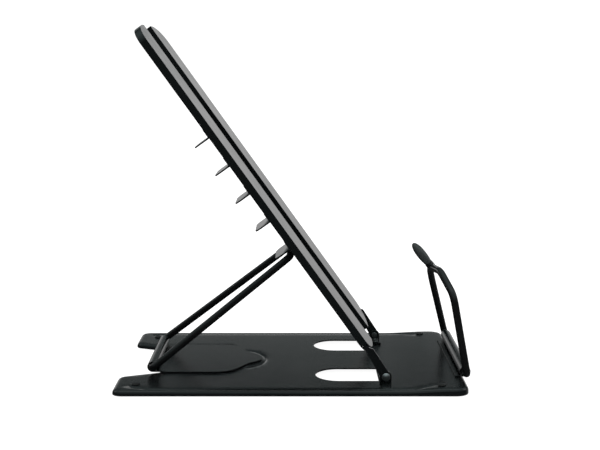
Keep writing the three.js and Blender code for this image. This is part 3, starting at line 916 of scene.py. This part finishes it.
@dataclass
class Tray:
    """The sloped tray: two wings, their arms, the spine and its tabs."""

    shop: Workshop
    tabs: int = 5
    wing_edge: float = 0.45 * MM
    arm_edge: float = 0.35 * MM
    spine_edge: float = 0.4 * MM
    tab_edge: float = 0.3 * MM

    def build(self) -> None:
        """Makes the tray's pieces."""
        for side in Side:
            self.shop.eased(f"{side.prefix}_wing", f"{side.prefix}_tray_wing", Body.TRAY, self.wing_edge)
            self.shop.eased(f"{side.prefix}_arm", f"{side.prefix}_tray_arm", Body.TRAY, self.arm_edge)
        self.shop.eased("spine", "tray_spine", Body.TRAY, self.spine_edge)
        for number in range(1, self.tabs + 1):
            self.shop.eased(f"support_tab_{number}", f"prop_tab_{number}", Body.TRAY, self.tab_edge)


@dataclass
class PropWire:
    """The wire that holds the tray up: two legs, spread at the foot, and a top bar."""

    shop: Workshop
    radius: float = 3 * MM
    pin_end: float = 34 * MM
    foot_half: float = 50 * MM
    top_half: float = 26.5 * MM
    foot_bend: float = 3 * MM
    top_bend: float = 6 * MM

    def build(self) -> None:
        """Makes the wire along its rounded path."""
        foot = JOINTS["prop_hinge"]
        top = node_box("prop_wire")[1] - self.radius
        half = [
            (foot[0], -self.pin_end, foot[2], 0), (foot[0], -self.foot_half, foot[2], self.foot_bend),
            (top[0], -self.top_half, top[2], self.top_bend),
        ]
        table = np.array(half + [(x, -y, z, bend) for x, y, z, bend in half[::-1]])
        path = rounded_path(table[:, :3], table[:, 3], 10, closed=False)
        path = subdivide(path, stretch_counts(path, 12 * MM, False), False)
        rise = top - foot
        beside = np.array([-rise[2], 0, rise[0]]) / math.hypot(rise[0], rise[2])
        piece = wire_surface(path, self.radius, beside, 24).object("prop_rod")
        self.shop.fit(piece, "prop_wire", Body.PROP)


@dataclass
class PageHolder:
    """The wire that holds pages open, with a dipped tip on its loop."""

    shop: Workshop
    radius: float = 3 * MM
    pin_end: float = 50 * MM
    leg: float = 71 * MM
    small_bend: float = 4 * MM
    shoulder_bend: float = 12 * MM
    arch_round: float = 30 * MM
    far_round: float = 40 * MM
    shoulder: tuple[float, float] = (126 * MM, 76 * MM)
    arch: tuple[float, float, float] = (119.5 * MM, 38 * MM, 89 * MM)
    far_bend: tuple[float, float, float] = (120.5 * MM, 40 * MM, 73 * MM)
    neck: tuple[float, float, float] = (116.5 * MM, 3.4 * MM, 86 * MM)
    slope: float = math.radians(129)
    loop: float = 14 * MM
    tip_start: float = -2.2 * MM
    tip_length: float = 27.5 * MM
    tip_thick: float = 4 * MM
    tip_wide: float = 8 * MM
    tip_points: int = 40

    def wire(self) -> None:
        """Makes the wire: out of the roll, up, over, round the loop, and down on a slant."""
        axis = JOINTS["page_holder_hinge"]
        neck_x, neck_y, neck_z = self.neck
        ahead_x, ahead_z = self.loop * math.cos(self.slope), self.loop * math.sin(self.slope)
        loop_x, loop_z, loop_bend = neck_x + ahead_x, neck_z + ahead_z, neck_y - 0.05 * MM
        table = np.array([
            (axis[0], -self.pin_end, axis[2], 0), (axis[0], -self.leg, axis[2], self.small_bend),
            (self.shoulder[0], -self.leg, self.shoulder[1], self.shoulder_bend),
            (self.arch[0], -self.arch[1], self.arch[2], self.arch_round),
            (neck_x, -neck_y, neck_z, self.small_bend),
            (loop_x, -neck_y, loop_z, loop_bend), (loop_x, neck_y, loop_z, loop_bend),
            (neck_x, neck_y, neck_z, self.small_bend), (*self.far_bend, self.far_round),
            (axis[0], self.leg, axis[2], self.small_bend), (axis[0], self.pin_end, axis[2], 0),
        ])
        path = rounded_path(table[:, :3], table[:, 3], 9, closed=False)
        path = subdivide(path, stretch_counts(path, 10 * MM, False), False)
        lean = np.array([neck_x - axis[0], 0, neck_z - axis[2]])
        beside = np.array([lean[2], 0, -lean[0]]) / np.linalg.norm(lean)
        piece = wire_surface(path, self.radius, beside, 24).object("page_holder_rod")
        self.shop.fit(piece, "page_holder_wire", Body.PAGE_HOLDER)

    def tip(self) -> None:
        """Makes the tip: a flat spoon, round at its end and drawn in to a collar at the wire.

        The half width is the root of one less a power of the distance from the widest place,
        which is squarer towards the end than towards the wire. The ring at each length is a
        superellipse of power 2.4.
        """
        share = (1 - np.cos(np.linspace(0, np.pi, self.tip_points))) / 2
        widest = 0.56
        reach = np.where(share < widest, 1.02 * widest, 1 - widest)
        power = np.where(share < widest, 1.7, 2.3)
        swell = np.sqrt(np.clip(1 - (np.abs(share - widest) / reach) ** power, 0, 1))
        collar = 0.92 * np.exp(-((share / 0.40) ** 4)) * np.clip(share / 0.03, 0.3, 1) ** 0.4
        across = self.tip_wide * np.clip(np.maximum(swell, 0.92 * collar), 0.01, 0.99)
        deep = self.tip_thick * np.clip(np.maximum(swell, 0.98 * collar), 0.01, 0.99)
        angle = np.linspace(0, 2 * np.pi, self.tip_points, endpoint=False)
        square = 2 / 2.4
        wide = np.sign(np.cos(angle)) * np.abs(np.cos(angle)) ** square
        thick = np.sign(np.sin(angle)) * np.abs(np.sin(angle)) ** square
        along = np.array([math.cos(self.slope), 0, math.sin(self.slope)])
        out = np.cross([0.0, 1.0, 0.0], along)
        start = np.array([self.neck[0], 0, self.neck[2]]) + along * self.tip_start
        rings = start + along * (share * self.tip_length)[:, None, None]
        rings = rings + np.array([0.0, 1.0, 0.0]) * (across[:, None] * wide)[:, :, None]
        rings = rings + out * (deep[:, None] * thick)[:, :, None]
        piece = Surface.grid(rings, wrap=True).with_caps(len(angle)).object("page_holder_pad")
        self.shop.fit(piece, "page_holder_tip", Body.PAGE_HOLDER)

    def build(self) -> None:
        """Makes the wire and its tip."""
        self.wire()
        self.tip()


@dataclass(frozen=True)
class Panel:
    """A soft rectangular light: its name, its middle, its width and height, and its watts."""

    name: str
    place: tuple[float, float, float]
    size: tuple[float, float]
    power: float

    def hang(self, aim: Sequence[float]) -> None:
        """Hangs the light so that it faces a point."""
        light = bpy.data.lights.new(self.name, "AREA")
        light.shape = "RECTANGLE"
        light.size, light.size_y = self.size
        light.energy = self.power
        lamp = bpy.data.objects.new(self.name, light)
        lamp.location = self.place
        sight = Vector(aim) - Vector(self.place)
        lamp.rotation_euler = sight.to_track_quat("-Z", "Y").to_euler()
        lamp.visible_camera = False
        bpy.context.scene.collection.objects.link(lamp)


@dataclass
class Studio:
    """A pale floor, soft lights, what gloss sees all round, and the camera.

    The glows are levels at steps of steepness in degrees.
    """

    floor_half: float = 6.0
    camera_place: tuple[float, float, float] = (1.7 * MM, -0.960, 0.2666)
    camera_drop: float = math.radians(8.6)
    lens: float = 69.0
    shift: float = 4 / 600
    white: float = 1.12
    far_glow: tuple[tuple[float, float], ...] = (
        (-30, 0.34), (-10, 0.52), (7, 0.72), (11, 0.34), (13.8, 0.15), (15.2, 0.085), (16.6, 0.03),
        (22, 0.04), (35, 0.22), (60, 0.40), (80, 0.50),
    )
    near_glow: tuple[tuple[float, float], ...] = (
        (-60, 0.08), (-25, 0.02), (12, 0.02), (25, 0.14), (45, 0.34), (80, 0.50),
    )
    aim: tuple[float, float, float] = (0, 0, 0.12)
    panels: tuple[Panel, ...] = (
        Panel("overhead_soft", (0.0, 0.1, 1.7), (1.6, 1.0), 2.0),
        Panel("reader_soft", (1.6, 0.4, 1.0), (0.8, 0.8), 1.8),
        Panel("rear_soft", (-1.5, 0.4, 1.0), (0.8, 0.8), 1.2),
        Panel("near_soft", (0.3, -1.6, 1.5), (0.7, 0.5), 0.35),
    )

    def floor(self) -> None:
        """Lays a pale floor that gives off light of its own, and that gloss does not see."""
        half = self.floor_half
        corners = np.array([(-half, -half, 0), (half, -half, 0), (half, half, 0), (-half, half, 0)])
        floor = Surface(corners, [np.array([[0, 1, 2, 3]])]).object("studio_floor")
        shader = Shader("pale_floor")
        shader.set(
            Base_Color=(0.3, 0.3, 0.3, 1.0), Roughness=1.0, Specular_IOR_Level=0.0,
            Emission_Color=(1.0, 1.0, 1.0, 1.0), Emission_Strength=0.95,
        )
        floor.data.materials.append(shader.material)
        floor.visible_glossy = False

    def sky(self) -> None:
        """Surrounds the stand with even white light, which gloss sees as bands of glow instead.

        The glow has one level for each steepness on the far side, +Y, and another on the near
        side, and passes smoothly from one to the other. The far side is dark below a line that
        sinks towards the reader's end, +X. Steeper glow is a little green and blue.
        """
        world = bpy.data.worlds.new("white_room")
        world.use_nodes = True
        world.cycles.sampling_method = "NONE"
        book = NodeBook(world.node_tree, "Background")
        way = book.node("ShaderNodeTexCoord", {}, {}, "Generated")
        reader, far, steep = (book.node("ShaderNodeSeparateXYZ", {}, {0: way}, axis) for axis in "XYZ")
        height = steep * 0.5 + 0.5
        near, beyond = (
            book.ramp(height, *((0.5 + 0.5 * math.sin(math.radians(angle)), level) for angle, level in glow))
            for glow in (self.near_glow, self.far_glow)
        )
        sunk = book.ramp(steep + reader * 0.35 + 0.5, (0.30, 0.06), (0.37, 1))
        glow = near + (beyond * sunk - near) * book.ramp(far, (0.1, 0), (0.85, 1))
        cool = book.ramp(steep, (0.15, 0), (0.24, 1))
        tint = book.mix(cool, (1.0, 1.0, 1.0, 1.0), (0.80, 1.0, 1.0, 1.0))
        shown = book.node("ShaderNodeVectorMath", {"operation": "SCALE"}, {0: tint, "Scale": glow}, "Vector")
        gloss = book.node("ShaderNodeLightPath", {}, {}, "Is Glossy Ray")
        white = (self.white, self.white, self.white, 1.0)
        book.tree.links.new(book.mix(gloss, white, shown).link, book.surface.inputs["Color"])
        bpy.context.scene.world = world
        bpy.context.scene.view_settings.view_transform = "Standard"

    def camera(self) -> None:
        """Sets the camera a little above the stand, square to its side."""
        view = bpy.data.cameras.new("main_view")
        view.lens = self.lens
        view.sensor_width = 36
        view.shift_x = self.shift
        camera = bpy.data.objects.new("main_view", view)
        camera.location = self.camera_place
        camera.rotation_euler = (math.pi / 2 - self.camera_drop, 0, 0)
        bpy.context.scene.collection.objects.link(camera)
        bpy.context.scene.camera = camera

    def build(self) -> None:
        """Sets up the whole studio."""
        self.floor()
        self.sky()
        for panel in self.panels:
            panel.hang(self.aim)
        self.camera()


def main() -> None:
    """Builds the studio and the stand in order."""
    logging.basicConfig(level=logging.INFO, format="%(message)s")
    Studio().build()
    shop = Workshop()
    for part in (BasePlate(shop), Fittings(shop), Tray(shop), PropWire(shop), PageHolder(shop)):
        part.build()


if __name__ == "__main__":
    main()
